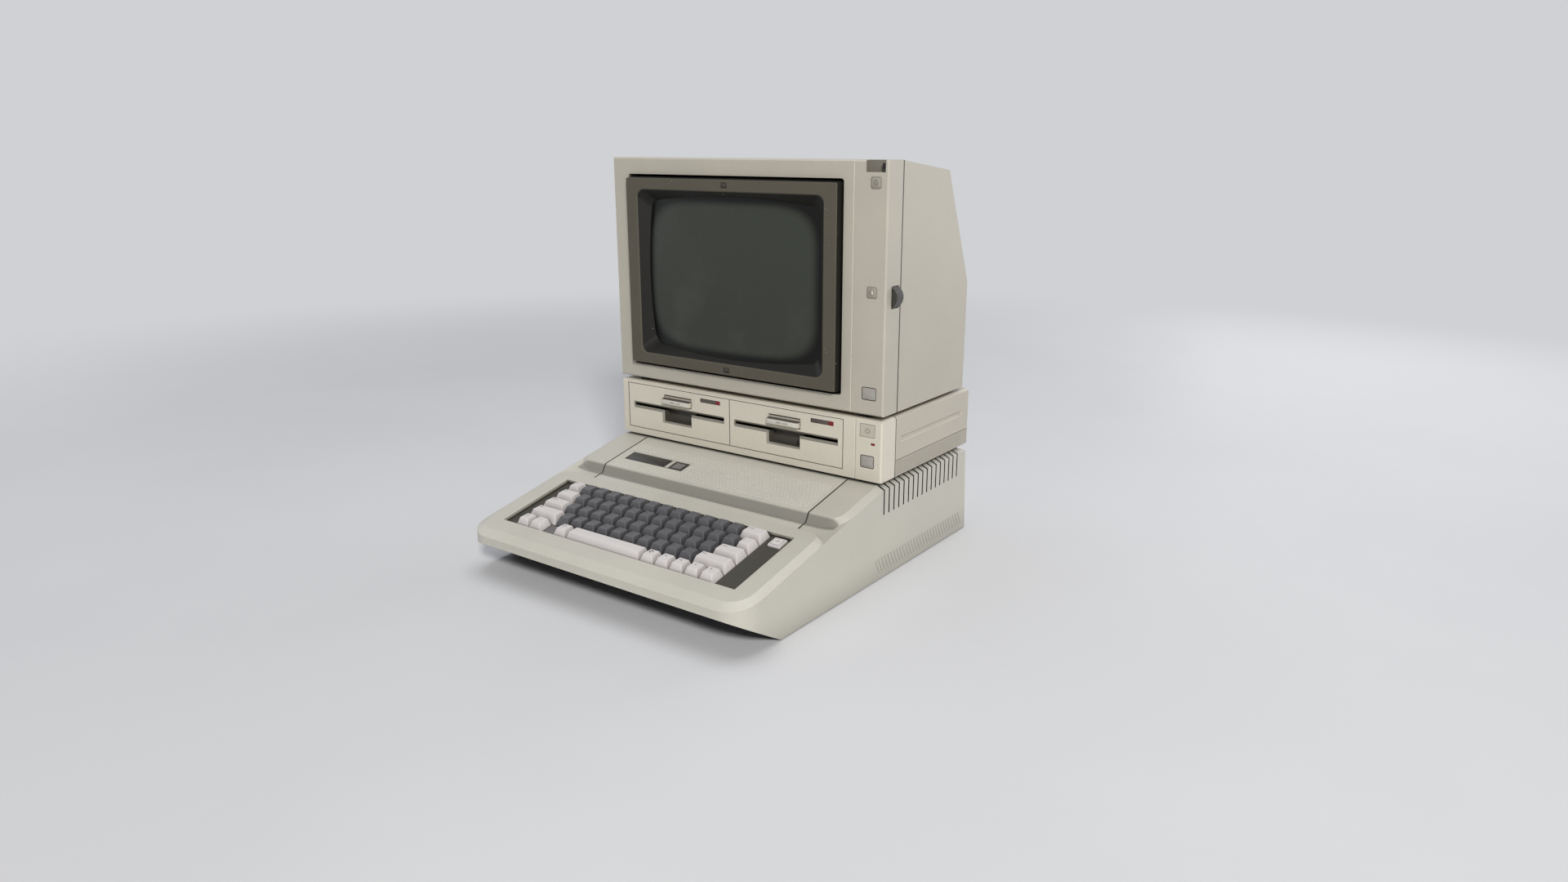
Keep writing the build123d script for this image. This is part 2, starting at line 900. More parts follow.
def lid_ledges():
    # strips under the lid's edges, fixed to the case beside them
    low = -valley_depth - roof_wall
    under = -roof_wall
    t = ledge_thickness
    start = lid_front - roof_step - 1
    bend = deck_start + roof_step + 1
    roof = crease(under)
    end = rear_wall(flat_height, bevel_width + case_wall)
    points = [
        on_slope(start, low), on_slope(bend, low), on_slope(bend, under), roof,
        (end, roof[1]), (end, roof[1] - t), (roof[0], roof[1] - t), on_slope(bend + t, under - t),
        on_slope(bend + t, low - t), on_slope(start, low - t),
    ]
    inner = lid_half_width - ledge_width
    outer = lid_half_width + ledge_width
    return [prism_x(points, *sorted((side * inner, side * outer))) for side in (-1, 1)]


def port_middles():
    return [port_first + index * port_pitch for index in range(port_count)]


def rear_windows():
    # the holes in the case's rear wall for the sockets and the mains switch
    gap = window_clearance
    inlet_x = (inlet_left - gap, inlet_left + inlet_width + gap)
    inlet_z = (inlet_bottom - gap, inlet_bottom + inlet_height + gap)
    frame = rocker_width / 2 + rocker_frame + gap
    frame_z = inlet_bottom + inlet_height / 2
    half = rocker_height / 2 + rocker_frame + gap
    deep = (supply_rear + 1, far)
    frame_x = (rocker_middle - frame, rocker_middle + frame)
    holes = [block(inlet_x, deep, inlet_z), block(frame_x, deep, (frame_z - half, frame_z + half))]
    low = main_board_height + board_thickness
    for x in port_middles():
        holes.append(block(grown(around(x, port_width), gap), deep, (low - gap, low + port_height + gap)))
    return holes


def case_screw_places():
    z = lid_rear_height - 3 * screw_head
    return [(side * (lid_half_width + ledge_width), rear_wall(z), z) for side in (-1, 1)]


def name_plate_pocket():
    # the bevelled recess for the name plate
    x = (plate_left, plate_right)
    s = (plate_start, plate_end)
    mouth = rounded(x, s)
    floor = Pos(0, 0, -plate_depth) * rounded(grown(x, -plate_bevel), grown(s, -plate_bevel))
    above = Pos(0, 0, plate_depth) * rounded(grown(x, plate_bevel), grown(s, plate_bevel))
    return board_tilt * (loft([floor, mouth], ruled=True) + loft([mouth, above], ruled=True))


def panel_ribs():
    # fine ribs across the lid's slope, shortened at the panel's rounded corners
    ribs = []
    count = int((panel_end - panel_start) / panel_rib_pitch)
    half = panel_rib_width / 2
    for index in range(count + 1):
        s = panel_start + index * panel_rib_pitch
        reach = max(panel_start + panel_corner - s, s - panel_end + panel_corner, 0.0)
        short = panel_corner - sqrt(max(panel_corner ** 2 - reach ** 2, 0.0))
        x = panel_half_width - short
        points = [
            on_slope(s - half, -panel_rib_height), on_slope(s - half, 0), on_slope(s, panel_rib_height),
            on_slope(s + half, 0), on_slope(s + half, -panel_rib_height),
        ]
        ribs.append(prism_x(points, -x, x))
    plate_x = grown((plate_left, plate_right), panel_rib_pitch)
    plate_s = grown((plate_start, plate_end), panel_rib_pitch)
    margin = slope_block(plate_x, plate_s, (0, far))
    return [rib - margin for rib in ribs]


def make_case():
    outside = case_outside()
    shell = outside - case_inside()
    well_floor = -roof_step - valley_depth - roof_wall
    shell = shell - slope_block((-well_half_width, well_half_width), (0, well_length), (well_floor, far))
    shell = shell - side_vents()
    for side in (-1, 1):
        shell = shell + slanted_ribs(
            side, case_half_width, side_rib_first, side_rib_count, side_rib_pitch,
            (side_rib_bottom, side_rib_top), side_rib_run, side_rib_width, side_rib_height,
        )
    lid = shell & lid_zone(lid_seam / 2)
    lid = lid + panel_ribs()
    lid = lid - name_plate_pocket()
    case = shell - lid_zone(-lid_seam / 2)
    case = case + lid_ledges()
    case = case - rear_windows()
    case = case - [screw_hole(*place) for place in case_screw_places()]
    return case, lid


def make_name_plate():
    gap = window_clearance
    x = (plate_left + plate_bevel + gap, plate_right - plate_bevel - gap)
    s = (plate_start + plate_bevel + gap, plate_end - plate_bevel - gap)
    top = -plate_depth + plate_thickness
    plate = slope_block(x, s, (-plate_depth, top))
    bar = slope_block((plate_bar_left, plate_bar_right), s, (top, top + plate_bar_height))
    return plate + bar


def make_bottom_pan():
    side = inner_half_width - pan_gap
    rear = rear_wall(pan_flange, case_wall + pan_gap)
    floor = block((-side, side), (nose_front, rear), (desk_gap, desk_gap + pan_thickness))
    ring = block((-side, side), (nose_front, rear), (desk_gap, desk_gap + pan_flange))
    ring = ring - block((-side + pan_thickness, side - pan_thickness), (-far, rear - pan_thickness), (0, far))
    inset = case_wall + pan_gap
    outline = rounded((-side, side), (nose_front + inset, undercut_rear), nose_corner - inset)
    apron = extrude(outline, nose_bottom) & below_undercut(apron_set_back + apron_thickness)
    pan = apron + floor + ring - below_undercut(apron_set_back)
    posts = []
    for x in (main_board_left + standoff_radius, main_board_right - standoff_radius):
        for y in (main_board_front + standoff_radius, main_board_rear - standoff_radius):
            posts.append(rod_z(x, y, standoff_radius, (desk_gap + pan_thickness / 2, main_board_height)))
    return pan + posts


def make_feet():
    # four feet under each of the three units
    levels = (
        (0.0, desk_gap),
        (flat_height, drive_bottom),
        (drive_top, monitor_bottom),
    )
    depths = (
        (foot_front, foot_rear),
        (drive_front + 2 * foot_radius, foot_rear - foot_radius),
        (monitor_front + 2 * foot_radius, foot_rear - 2 * foot_radius),
    )
    feet = []
    for z, ys in zip(levels, depths):
        for x in (-foot_x, foot_x):
            for y in ys:
                feet.append(rod_z(x, y, foot_radius, z))
    return feet


# Keyboard

def cap_block(width, depth, skirt, front, rear, set_back):
    # one key cap's outer form: its front slopes back, its sides slope in and its top dips to the rear
    base = surround_top
    side = [
        (0, base - skirt), (0, base), (set_back, base + front), (depth - cap_rear_inset, base + rear),
        (depth, base), (depth, base - skirt),
    ]
    half = width / 2
    top = half - cap_side_inset
    ends = [
        (-half, base - skirt), (-half, base), (-top, base + front), (top, base + front),
        (half, base), (half, base - skirt),
    ]
    return prism_x(side, -half, half) & prism_y(ends, 0, depth)


def key_depth():
    return key_pitch - key_gap


def key_cap(units):
    # a hollow cap with its stem, standing at its front edge's middle
    width = units * key_pitch - key_gap
    depth = key_depth()
    outer = cap_block(width, depth, cap_skirt, cap_front_height, cap_rear_height, cap_set_back)
    inner = cap_block(
        width - 2 * cap_wall, depth - 2 * cap_wall, 2 * cap_skirt, cap_front_height - cap_wall,
        cap_rear_height - cap_wall, cap_set_back,
    )
    stem_middle = depth / 2 + switch_shift
    roof = surround_top + (cap_front_height + cap_rear_height - cap_wall) / 2
    stem = block(around(0, stem_width), around(stem_middle, stem_depth), (surround_top - stem_drop, roof))
    return outer - Pos(0, cap_wall, 0) * inner + stem


def key_switch(height, hole):
    # a key switch with the socket that its stem slides in
    body = block(around(0, switch_size), around(0, switch_size), (key_board_top, key_board_top + height))
    socket = block(
        around(0, stem_width + 2 * stem_clearance), around(0, stem_depth + 2 * stem_clearance),
        (key_board_top + height - hole, far),
    )
    return body - socket


def key_rows():
    # what stands in each row, from the left, with its width in key units
    def run(node, count):
        return ((node, 1.0),) * count

    return (
        (("escape_key", 1.0), *run("number_row_keys", 12), ("delete_key", 1.5)),
        (("tab_key", 1.5), *run("upper_row_keys", 12), ("backslash_key", 1.0)),
        (("control_key", 1.75), *run("home_row_keys", 11), ("return_key", 1.75)),
        (("left_shift_key", 2.25), *run("lower_row_keys", 10), ("right_shift_key", 2.25)),
        (
            ("caps_lock_key", 1.0), ("accent_key", 1.0), ("blank_tile", 1.0), ("left_command_key", 1.0),
            ("space_bar", 5.5), ("right_command_key", 1.0), *run("arrow_keys", 4),
        ),
    )


def key_places():
    # every key as (node, width in units, middle X, front edge up the slope)
    places = []
    for index, row in enumerate(key_rows()):
        front = field_rear - (index + 1) * key_pitch + key_gap
        left = field_left
        for node, units in row:
            places.append((node, units, left + units * key_pitch / 2, front))
            left += units * key_pitch
    return places


def make_keys():
    # all caps by node, and their switches
    caps = {}
    shapes = {}
    switches = []
    stem_shift = key_depth() / 2 + switch_shift
    for node, units, x, s in key_places():
        if node == "blank_tile":
            continue
        if units not in shapes:
            shapes[units] = key_cap(units)
        caps.setdefault(node, []).append(board_tilt * (Pos(x, s, 0) * shapes[units]))
        switches.append(Pos(x, s + stem_shift, 0) * key_switch(switch_height, switch_height - 1))
    x = reset_left + reset_width / 2
    s = reset_start + reset_depth / 2
    switches.append(Pos(x, s, 0) * key_switch(reset_switch_height, reset_switch_height - 1))
    return caps, [board_tilt * switch for switch in switches]


def make_reset_key():
    x = (reset_left, reset_left + reset_width)
    s = (reset_start, reset_start + reset_depth)
    low = surround_top - surround_thickness
    top = surround_top + reset_rise
    walls = extrude(Pos(0, 0, low) * rounded(x, s), surround_top - low)
    upper = rounded(grown(x, -reset_inset), grown(s, -reset_inset))
    cone = loft([Pos(0, 0, surround_top) * rounded(x, s), Pos(0, 0, top) * upper], ruled=True)
    hollow = block(grown(x, -cap_wall), grown(s, -cap_wall), (low - 1, surround_top + reset_rise / 2))
    stem_end = key_board_top + reset_switch_height - reset_rise
    stem = block(
        around((x[0] + x[1]) / 2, stem_width), around((s[0] + s[1]) / 2, stem_depth),
        (stem_end, surround_top + reset_rise / 2 + 1),
    )
    return board_tilt * (walls + cone - hollow + stem)


def field_box(gap, h):
    # the block that the main keys fill
    half = field_half + gap
    front = field_rear - row_count * key_pitch + key_gap
    return block((field_middle - half, field_middle + half), (front - gap, field_rear + gap), h)


def make_surround():
    # the dark plate about the keys, with its rim and the posts that carry the switch plate
    lip = surround_lip
    low = surround_top - surround_thickness
    half = well_half_width + lip
    plate = block((-half, half), (-lip, well_length + lip), (low, surround_top + surround_rim))
    gap = window_clearance
    well_x = (-well_half_width - gap, well_half_width + gap)
    well = block(well_x, (-gap, well_length + gap), (surround_top, far))
    plate = plate - well - field_box(field_clearance, (-far, far))
    x = (reset_left, reset_left + reset_width)
    s = (reset_start, reset_start + reset_depth)
    plate = plate - block(grown(x, reset_clearance), grown(s, reset_clearance), (-far, far))
    posts = []
    for side in (-1, 1):
        for place in (lip, well_length / 3, 2 * well_length / 3):
            spot = side * (well_half_width - standoff_radius)
            tall = (switch_plate_top, surround_top - surround_thickness / 2)
            posts.append(rod_z(spot, place, standoff_radius, tall))
    return board_tilt * (plate + posts)


def switch_middles():
    stem_shift = key_depth() / 2 + switch_shift
    middles = [(x, s + stem_shift) for node, units, x, s in key_places() if node != "blank_tile"]
    return middles + [(reset_left + reset_width / 2, reset_start + reset_depth / 2)]


def make_switch_plate():
    low = switch_plate_top - switch_plate_thickness
    plate = block((-well_half_width, well_half_width), (-1, well_length), (low, switch_plate_top))
    size = switch_size + 2 * switch_plate_clearance
    holes = [Pos(x, s, 0) * block(around(0, size), around(0, size), (-far, far)) for x, s in switch_middles()]
    posts = []
    for x in (-well_half_width, well_half_width):
        inward = x - standoff_radius * x / abs(x)
        for s in (standoff_radius, well_length - standoff_radius):
            tall = (key_board_top, low + switch_plate_thickness / 2)
            posts.append(rod_z(inward, s, standoff_radius, tall))
    return board_tilt * (plate - holes + posts)


def make_key_board():
    low = key_board_top - board_thickness
    return slope_block((-well_half_width, well_half_width), (-1, well_length), (low, key_board_top))


def make_blank_tile():
    # the flat tile that fills the one place without a key, on legs down to the switch plate
    x, s = [(x, s) for node, units, x, s in key_places() if node == "blank_tile"][0]
    size = key_depth()
    tile = block(around(x, size), (s, s + size), (surround_top - tile_thickness, surround_top))
    tall = (switch_plate_top, surround_top - tile_thickness / 2)
    legs = []
    for side in (-1, 1):
        for end in (s + tile_leg / 2, s + size - tile_leg / 2):
            spot = x + side * (size - tile_leg) / 2
            legs.append(block(around(spot, tile_leg), around(end, tile_leg), tall))
    return board_tilt * (tile + legs)


# Inside and behind the computer

def make_main_board():
    x = (main_board_left, main_board_right)
    y = (main_board_front, main_board_rear)
    return block(x, y, (main_board_height, main_board_height + board_thickness))


def make_board_chips():
    low = main_board_height + board_thickness
    chips = []
    for column in range(chip_columns):
        for row in range(chip_rows):
            x = main_board_left + chip_margin + chip_length / 2 + column * chip_pitch_x
            y = main_board_front + chip_margin + row * chip_pitch_y
            chips.append(block(around(x, chip_length), around(y, chip_width), (low, low + chip_height)))
    return chips


def make_expansion_slots():
    low = main_board_height + board_thickness
    y = (slot_front, slot_front + slot_length)
    strips = []
    for index in range(slot_count):
        x = slot_first + index * slot_pitch
        strip = block(around(x, slot_width), y, (low, low + slot_height))
        groove_x = around(x, board_thickness + 2 * window_clearance)
        groove = block(groove_x, grown(y, -board_thickness), (low + slot_height / 3, far))
        strips.append(strip - groove)
    return strips


def make_power_supply():
    floor = desk_gap + pan_thickness
    x = (supply_left, supply_right)
    y = (supply_front, supply_rear)
    z = (floor, floor + supply_height)
    t = supply_cover
    window = block(grown(x, -3 * t), (y[0] - t, y[0] + 2 * t), grown(z, -3 * t))
    return block(x, y, z) - block(grown(x, -t), grown(y, -t), grown(z, -t)) - window


def make_inlet():
    # the mains inlet: a shrouded socket with three blades
    x = (inlet_left, inlet_left + inlet_width)
    z = (inlet_bottom, inlet_bottom + inlet_height)
    rear = rear_wall(inlet_bottom)
    body = slab_y(x, z, (supply_rear, rear))
    body = body - slab_y(grown(x, -inlet_wall), grown(z, -inlet_wall), (rear - inlet_depth, rear + 1))
    middle = (x[0] + x[1]) / 2
    level = (z[0] + z[1]) / 2 + inlet_pin_width
    pins = []
    deep = (rear - inlet_depth - 1, rear - inlet_depth + inlet_pin_length)
    for step in (-1, 0, 1):
        spot = middle + step * inlet_pin_spacing
        pins.append(block(around(spot, inlet_pin_thickness), deep, around(level, inlet_pin_width)))
    return body + pins


def rocker_level():
    return inlet_bottom + inlet_height / 2


def rocker_axis_y():
    return rear_wall(rocker_level()) - rocker_depth / 2


def make_rocker_frame():
    # the switch body that the rocker turns in
    half = rocker_width / 2 + rocker_frame
    x = (rocker_middle - half, rocker_middle + half)
    tall = rocker_height / 2 + rocker_frame
    z = (rocker_level() - tall, rocker_level() + tall)
    rear = rear_wall(rocker_level())
    frame = slab_y(x, z, (supply_rear, rear))
    gap = window_clearance
    well = slab_y(
        grown(around(rocker_middle, rocker_width), gap), grown(around(rocker_level(), rocker_height), gap),
        (supply_rear + rocker_frame, rear + 1),
    )
    bore = rod_x(rocker_axis_y(), rocker_level(), rocker_pin_radius + shaft_gap, x)
    return frame - well - bore


def make_rocker():
    # the mains switch's rocker, a shallow V on a cross pin, lying in its off position
    rear = rear_wall(rocker_level())
    axis = rocker_axis_y()
    reach = rocker_height / 2 - 2 * window_clearance
    level = rocker_level()
    back = rear - rocker_depth / 3
    points = [
        (axis - rocker_pin_radius, level), (back, level - reach), (rear, level - reach),
        (rear - rocker_valley, level), (rear, level + reach), (back, level + reach),
    ]
    half = rocker_width / 2
    body = prism_x(points, rocker_middle - half, rocker_middle + half)
    hub = rod_x(axis, level, 2 * rocker_pin_radius, (rocker_middle - half, rocker_middle + half))
    pin = half + rocker_frame - window_clearance
    rocker = body + hub + rod_x(axis, level, rocker_pin_radius, (rocker_middle - pin, rocker_middle + pin))
    return rocker.rotate(Axis((0, axis, level), (1, 0, 0)), rocker_angle)


def make_rear_ports():
    # open-fronted sockets along the main board's rear edge
    low = main_board_height + board_thickness
    ports = []
    for x in port_middles():
        rear = rear_wall(low + port_height / 2) - window_clearance
        width = around(x, port_width)
        tall = (low, low + port_height)
        port = slab_y(width, tall, (rear - port_depth, rear))
        mouth = slab_y(grown(width, -port_wall), grown(tall, -port_wall), (rear - port_recess, rear + 1))
        tongue = slab_y(
            grown(width, -2 * port_wall), around(low + port_height / 2, port_wall),
            (rear - port_recess - 1, rear - 1),
        )
        ports.append(port - mouth + tongue)
    return ports


# Disk drive unit

def make_drive_case():
    # the drive unit's top cover, open below and in front
    wide = (-drive_half_width, drive_half_width)
    deep = (drive_shell_front, drive_rear)
    bevel = drive_edge_bevel
    ends = [
        (wide[0], drive_seam_top), (wide[0], drive_top - bevel), (wide[0] + bevel, drive_top),
        (wide[1] - bevel, drive_top), (wide[1], drive_top - bevel), (wide[1], drive_seam_top),
    ]
    side = [
        (deep[0], drive_seam_top), (deep[0], drive_top), (deep[1] - bevel, drive_top),
        (deep[1], drive_top - bevel), (deep[1], drive_seam_top),
    ]
    body = prism_y(ends, *deep) & prism_x(side, *wide)
    wall = drive_case_wall
    body = body - block(grown(wide, -wall), (deep[0] - 1, deep[1] - wall), (0, drive_top - wall))
    for edge in (-1, 1):
        face = edge * drive_half_width
        floor = edge * (drive_half_width - drive_groove_depth)
        lip = drive_groove_depth
        y = (drive_groove_front, drive_groove_rear)
        z = (drive_groove_bottom, drive_groove_top)
        floor_plane = Plane((floor, 0, 0), (0, 1, 0), (1, 0, 0))
        face_plane_x = Plane((face, 0, 0), (0, 1, 0), (1, 0, 0))
        middle = Pos(sum(y) / 2, sum(z) / 2)
        inner = floor_plane * (middle * Rectangle(y[1] - y[0] - 2 * lip, z[1] - z[0] - 2 * lip))
        outer = face_plane_x * (middle * Rectangle(y[1] - y[0], z[1] - z[0]))
        body = body - loft([inner, outer], ruled=True)
    return body


def drive_screw_places():
    z = (drive_bottom + drive_seam_height) / 2
    return [(side * drive_half_width / 2, drive_rear, z) for side in (-1, 1)]


def make_drive_pan():
    # the drive unit's lower tray
    wide = (-drive_half_width, drive_half_width)
    deep = (drive_shell_front, drive_rear)
    t = fascia_wall
    pan = block(wide, deep, (drive_bottom, drive_seam_bottom))
    pan = pan - block(grown(wide, -t), (deep[0] - 1, deep[1] - t), (drive_bottom + pan_thickness, far))
    for side in (-1, 1):
        pan = pan + slanted_ribs(
            side, drive_half_width, drive_rib_first, drive_rib_count, drive_rib_pitch,
            (drive_rib_bottom, drive_rib_top), drive_rib_run, side_rib_width, side_rib_height,
        )
    return pan - [screw_hole(*place) for place in drive_screw_places()]


def drive_middles():
    return [(bay_left + bay_middle) / 2, (bay_middle + bay_right) / 2]


def latch_axis_y():
    return face_front() + latch_axis_back


def face_front():
    return drive_front + face_set_back


def make_drive_fascia():
    # the drive unit's front, a shell with one window for both drive faces
    wide = (-drive_half_width, drive_half_width)
    deep = (drive_front, drive_front + fascia_depth)
    bevel = fascia_edge_bevel
    plan = [
        (wide[0], deep[1]), (wide[0], deep[0] + bevel), (wide[0] + bevel, deep[0]),
        (wide[1] - bevel, deep[0]), (wide[1], deep[0] + bevel), (wide[1], deep[1]),
    ]
    top = drive_edge_bevel
    side = [
        (deep[0], drive_bottom), (deep[0], drive_top - top), (deep[0] + top, drive_top),
        (deep[1], drive_top), (deep[1], drive_bottom),
    ]
    outline = Pos(0, 0, drive_bottom) * Polygon(*plan, align=None)
    face = extrude(outline, drive_top - drive_bottom, dir=(0, 0, 1))
    ends = [
        (wide[0], drive_bottom), (wide[0], drive_top - top), (wide[0] + top, drive_top),
        (wide[1] - top, drive_top), (wide[1], drive_top - top), (wide[1], drive_bottom),
    ]
    body = face & prism_x(side, *wide) & prism_y(ends, *deep)
    wall = fascia_wall
    floor = drive_bottom + pan_thickness
    body = body - block(grown(wide, -wall), (deep[0] + wall, far), (floor, drive_top - wall - 1))
    body = body - slab_y((bay_left, bay_right), (bay_bottom, bay_top), (deep[0] - 1, deep[0] + wall + 1))
    body = body - front_groove(strip_x, strip_width, strip_depth, deep[0])
    gap = power_gap
    around_button = gap + power_guide_wall
    guide_x = (power_left - around_button, min(power_right + around_button, drive_half_width - wall))
    guide_z = (power_bottom - around_button, drive_top - wall - 1)
    guide = slab_y(guide_x, guide_z, (deep[0] + wall, deep[0] + power_button_depth - power_stroke))
    body = body + guide
    hole = slab_y(
        (power_left - gap, power_right + gap), (power_bottom - gap, power_top + gap), (deep[0] - 1, far),
    )
    body = body - hole
    lamp_x = grown((power_lamp_left, power_lamp_right), lamp_gap)
    lamp_z = grown((power_lamp_bottom, power_lamp_top), lamp_gap)
    body = body - slab_y(lamp_x, lamp_z, (deep[0] - 1, far))
    return body - slab_y(
        (emblem_left, emblem_right), (emblem_bottom, emblem_top),
        (deep[0] - 1, deep[0] + emblem_depth), emblem_corner,
    )


def make_drive_power_button():
    deep = (drive_front, drive_front + power_button_depth)
    return slab_y((power_left, power_right), (power_bottom, power_top), deep, power_gap)


def drive_face(middle, left, right):
    # one drive's face plate: the disk slot, the finger recess under it and the latch's opening above
    front = face_front()
    back = front + face_thickness
    face = slab_y((left, right), (bay_bottom + face_gap, bay_top - face_gap), (front, back))
    finger_x = (middle + finger_left, middle + finger_right)
    pocket = slab_y(
        finger_x, (finger_bottom, slit_bottom - finger_wall / 2), (front, front + finger_depth + finger_wall),
    )
    boss_x = (middle + latch_left - latch_boss, middle + latch_left + latch_length + latch_boss)
    barrel = (latch_axis_height - latch_barrel, latch_axis_height + latch_barrel + latch_swing_gap)
    boss_z = grown(barrel, finger_wall)
    boss = slab_y(boss_x, boss_z, (front, front + latch_boss_depth))
    body = face + pocket + boss
    slot_x = (middle - slot_half, middle + slot_half)
    body = body - slab_y(slot_x, (slit_bottom, slit_top), (front - 1, back + 1))
    body = body - funnel_y(
        (slot_x, (slot_mouth_bottom, slot_mouth_top)),
        (grown(slot_x, -1), (slit_bottom, slit_top)), (front, front + slot_lip_depth),
    )
    deep_x = grown(finger_x, -finger_bevel)
    body = body - slab_y(deep_x, (finger_bottom + finger_bevel, slit_top), (front, front + finger_depth))
    body = body - funnel_y(
        (finger_x, (finger_bottom, slot_mouth_top)),
        (deep_x, (finger_bottom + finger_bevel, slit_top)), (front, front + slot_lip_depth),
    )
    gap = latch_opening_gap
    open_x = (middle + latch_left - gap, middle + latch_left + latch_length + gap)
    open_z = (latch_axis_height - latch_barrel - gap, latch_axis_height + latch_barrel + latch_swing_gap)
    body = body - slab_y(open_x, open_z, (front - 1, far))
    bore_x = grown(open_x, latch_pin_length + gap)
    bore = rod_x(latch_axis_y(), latch_axis_height, latch_pin_radius + shaft_gap, bore_x)
    lamp_x = (middle + lamp_left - lamp_gap, middle + lamp_left + lamp_length + lamp_gap)
    lamp = slab_y(lamp_x, (lamp_bottom - lamp_gap, lamp_bottom + lamp_height + lamp_gap), (front - 1, far))
    return body - bore - lamp


def make_drive_faces():
    left, right = drive_middles()
    return [
        drive_face(left, bay_left + face_gap, bay_middle - face_gap),
        drive_face(right, bay_middle + face_gap, bay_right - face_gap),
    ]


def make_latch(middle):
    # the lever over the slot: a bar on a barrel that turns in the face plate
    x = (middle + latch_left, middle + latch_left + latch_length)
    axis = latch_axis_y()
    front = drive_front - latch_reach
    z = latch_axis_height
    r = latch_barrel
    edge = r * sin(radians(45))
    bar = [
        (front, latch_face_bottom), (front, latch_face_top), (axis - edge, z + edge),
        (axis, z + r / 2), (axis, z - r / 2), (axis - edge, z - edge),
    ]
    body = prism_x(bar, *x) + rod_x(axis, z, r, x)
    return body + rod_x(axis, z, latch_pin_radius, grown(x, latch_pin_length))


def make_lamps():
    # each drive's in-use lamp bar with its lens, and the unit's power lamp
    front = face_front()
    lamps = []
    for middle in drive_middles():
        x = middle + lamp_left
        split = x + lamp_length - lamp_lens
        z = (lamp_bottom, lamp_bottom + lamp_height)
        y = (front - face_set_back, front + lamp_depth)
        lamps.append(slab_y((x, split), z, y))
        lamps.append(slab_y((split, x + lamp_length), z, y))
    z = (power_lamp_bottom, power_lamp_top)
    lamps.append(slab_y((power_lamp_left, power_lamp_right), z, (drive_front, drive_front + lamp_depth)))
    return lamps


def spindle_y():
    return face_front() + spindle_back


def make_chassis(middle):
    # one drive's sheet chassis with the spindle bearing and the head's rails
    floor = drive_bottom + pan_thickness
    half = chassis_half_width
    t = chassis_sheet
    x = (middle - half, middle + half)
    y = (chassis_front, chassis_rear)
    body = block(x, y, (floor, chassis_top)) - block(grown(x, -t), grown(y, t), (floor + t, far))
    bearing = (floor, floor + t + bearing_height)
    body = body + rod_z(middle, spindle_y(), spindle_radius + bearing_wall, bearing)
    body = body - rod_z(middle, spindle_y(), spindle_radius + shaft_gap, (floor + t / 2, far))
    for place in (rail_front, rail_rear):
        body = body + block(
            (middle - rail_bracket_half, middle + rail_bracket_half), (place, place + rail_bracket),
            (floor, rail_height + 2 * rail_radius),
        )
    for side in (-1, 1):
        x_rail = middle + side * rail_spacing / 2
        body = body + rod_y(x_rail, rail_height, rail_radius, (rail_front, rail_rear + rail_bracket))
    return body


def make_spindle(middle):
    # hub, shaft and flywheel, turning about the chassis bearing
    floor = drive_bottom + pan_thickness
    t = chassis_sheet
    wheel = floor + t + bearing_height + running_gap
    y = spindle_y()
    body = rod_z(middle, y, spindle_radius, (floor + t, hub_top))
    body = body + rod_z(middle, y, flywheel_radius, (wheel, wheel + flywheel_thickness))
    return body + rod_z(middle, y, hub_radius, (hub_top - hub_height, hub_top))


def make_carriage(middle):
    # the read head's carriage, running to the rear on its two rails
    x = (middle - carriage_half_width, middle + carriage_half_width)
    y = (carriage_front, carriage_front + carriage_length)
    body = block(x, y, (carriage_bottom, carriage_top))
    body = body - block(grown(x, 1), (y[0] - 1, y[0] + head_slot_depth), (head_slot_bottom, head_slot_top))
    for side in (-1, 1):
        x_rail = middle + side * rail_spacing / 2
        body = body - rod_y(x_rail, rail_height, rail_radius + shaft_gap, grown(y, 1))
    return body


def make_drive_boards():
    boards = []
    for middle in drive_middles():
        x = (middle - chassis_half_width, middle + chassis_half_width)
        y = (drive_board_front, drive_board_rear)
        board = block(x, y, (chassis_top, chassis_top + board_thickness))
        tall = (chassis_top + board_thickness / 2, chassis_top + board_thickness + chip_height)
        chips = []
        for row in range(drive_chip_rows):
            spot = drive_board_front + chip_margin + row * drive_chip_pitch
            for column in (-1, 0, 1):
                spot_x = middle + column * drive_chip_pitch_x
                chips.append(block(around(spot_x, chip_length), around(spot, chip_width), tall))
        boards.append(board + chips)
    return boards


# Monitor

